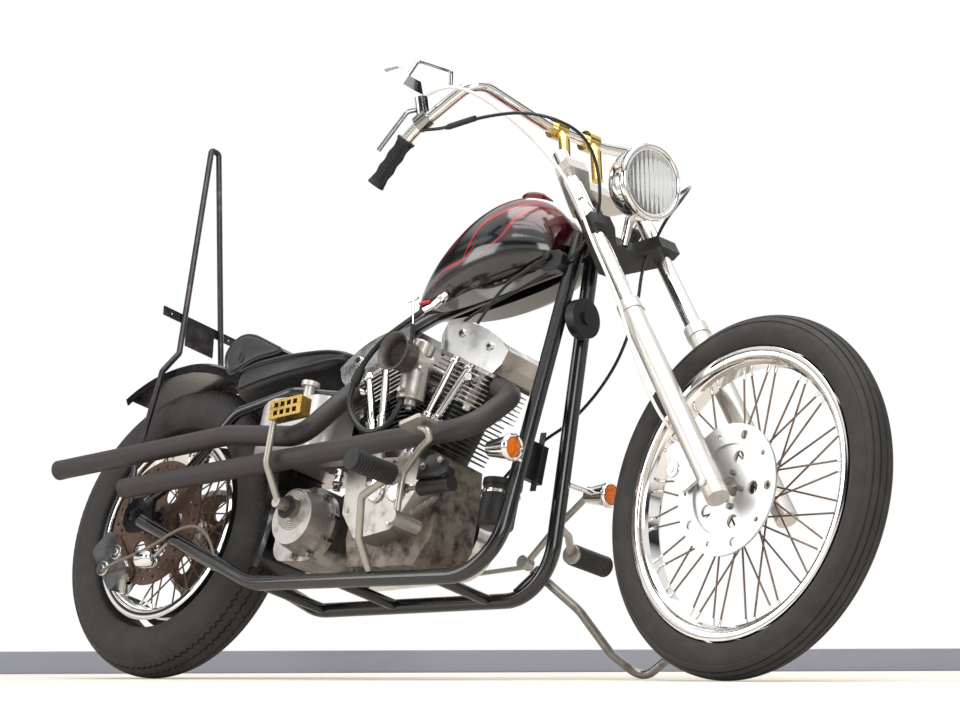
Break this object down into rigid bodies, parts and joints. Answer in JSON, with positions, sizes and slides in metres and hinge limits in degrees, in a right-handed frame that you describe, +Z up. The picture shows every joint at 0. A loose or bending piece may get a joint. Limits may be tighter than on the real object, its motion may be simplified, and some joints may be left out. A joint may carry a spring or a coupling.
{
  "type": "rigid-frame chopper motorcycle",
  "caption": "Rigid-frame chopper motorcycle with an open V-twin engine, wire wheels, swept bar and tall sissy bar, leaning on its side stand.",
  "frame": {"origin": "centre of the whole machine's box on the ground, as it leans on its side stand", "axes": "+X forward along the machine, +Y to the rider's left, +Z up from the ground"},
  "size_m": [2.3246, 0.922, 1.2791],
  "materials": {
    "black_frame_paint": "gloss",
    "black_tank_paint": "gloss",
    "black_leather": "satin",
    "worn_steel": "satin",
    "engine_aluminium": "satin",
    "black_cylinder_paint": "satin",
    "chrome": "gloss",
    "cast_grey": "matte",
    "matt_black_exhaust": "matte",
    "aged_brass": "satin",
    "black_rubber": "matte",
    "hose_plastic": "gloss",
    "tyre_rubber": "matte",
    "bright_disc": "satin"
  },
  "bodies": {
    "chassis": {"frame_neck": "black_frame_paint", "frame_backbone": "black_frame_paint", "frame_right_cradle": "black_frame_paint", "frame_left_cradle": "black_frame_paint", "frame_stays": "black_frame_paint", "frame_crossmembers": "black_frame_paint", "fuel_tank": "black_tank_paint", "seat": "black_leather", "oil_tank": "worn_steel", "rear_fender": "black_frame_paint", "sissy_bar": "worn_steel", "crankcase": "engine_aluminium", "cylinders": "black_cylinder_paint", "heads": "engine_aluminium", "rocker_boxes": "chrome", "pushrod_tubes": "chrome", "carburettor": "engine_aluminium", "intake_bell": "cast_grey", "gearbox": "engine_aluminium", "kick_starter": "worn_steel", "primary_cover": "engine_aluminium", "exhausts": "matt_black_exhaust", "oil_filter": "black_cylinder_paint", "regulator": "black_cylinder_paint", "horn": "black_cylinder_paint", "turn_signals": "chrome", "footpegs": "black_frame_paint", "brake_pedal": "black_frame_paint", "brake_master": "black_cylinder_paint", "drive_chain": "worn_steel", "rear_brake": "engine_aluminium", "stand_lug": "black_frame_paint"},
    "steering": {"triple_trees": "engine_aluminium", "fork_tubes": "chrome", "fork_sliders": "engine_aluminium", "headlamp": "chrome", "risers": "aged_brass", "handlebar": "chrome", "grips": "black_rubber", "bar_controls": "engine_aluminium", "mirror": "chrome", "front_caliper": "engine_aluminium", "brake_hose": "hose_plastic"},
    "front_wheel": {"front_tyre": "tyre_rubber", "front_rim": "chrome", "front_hub": "engine_aluminium", "front_spokes": "worn_steel", "front_disc": "bright_disc"},
    "rear_wheel": {"rear_tyre": "tyre_rubber", "rear_rim": "chrome", "rear_hub": "engine_aluminium", "rear_spokes": "worn_steel", "rear_disc": "worn_steel", "rear_sprocket": "worn_steel"},
    "side_stand": {"side_stand": "worn_steel"}
  },
  "joints": [
    {"name": "steering", "type": "hinge", "parent": "chassis", "child": "steering", "pos_m": [0.29479, 0.03925, 0.91379], "axis": [-0.6034, 0.2201, 0.7664], "range_deg": [-27, 43]},
    {"name": "front_spin", "type": "hinge", "parent": "steering", "child": "front_wheel", "pos_m": [0.81523, -0.13278, 0.34324], "axis": [0.1116, 0.975, -0.1922], "continuous": true},
    {"name": "rear_spin", "type": "hinge", "parent": "chassis", "child": "rear_wheel", "pos_m": [-0.8243, -0.12823, 0.32739], "axis": [0.0006, 0.9613, -0.2756], "continuous": true},
    {"name": "stand_fold", "type": "hinge", "parent": "chassis", "child": "side_stand", "pos_m": [0.19738, -0.04139, 0.213], "axis": [0.1768, 0.7633, 0.6214], "range_deg": [0, 110]}
  ]
}
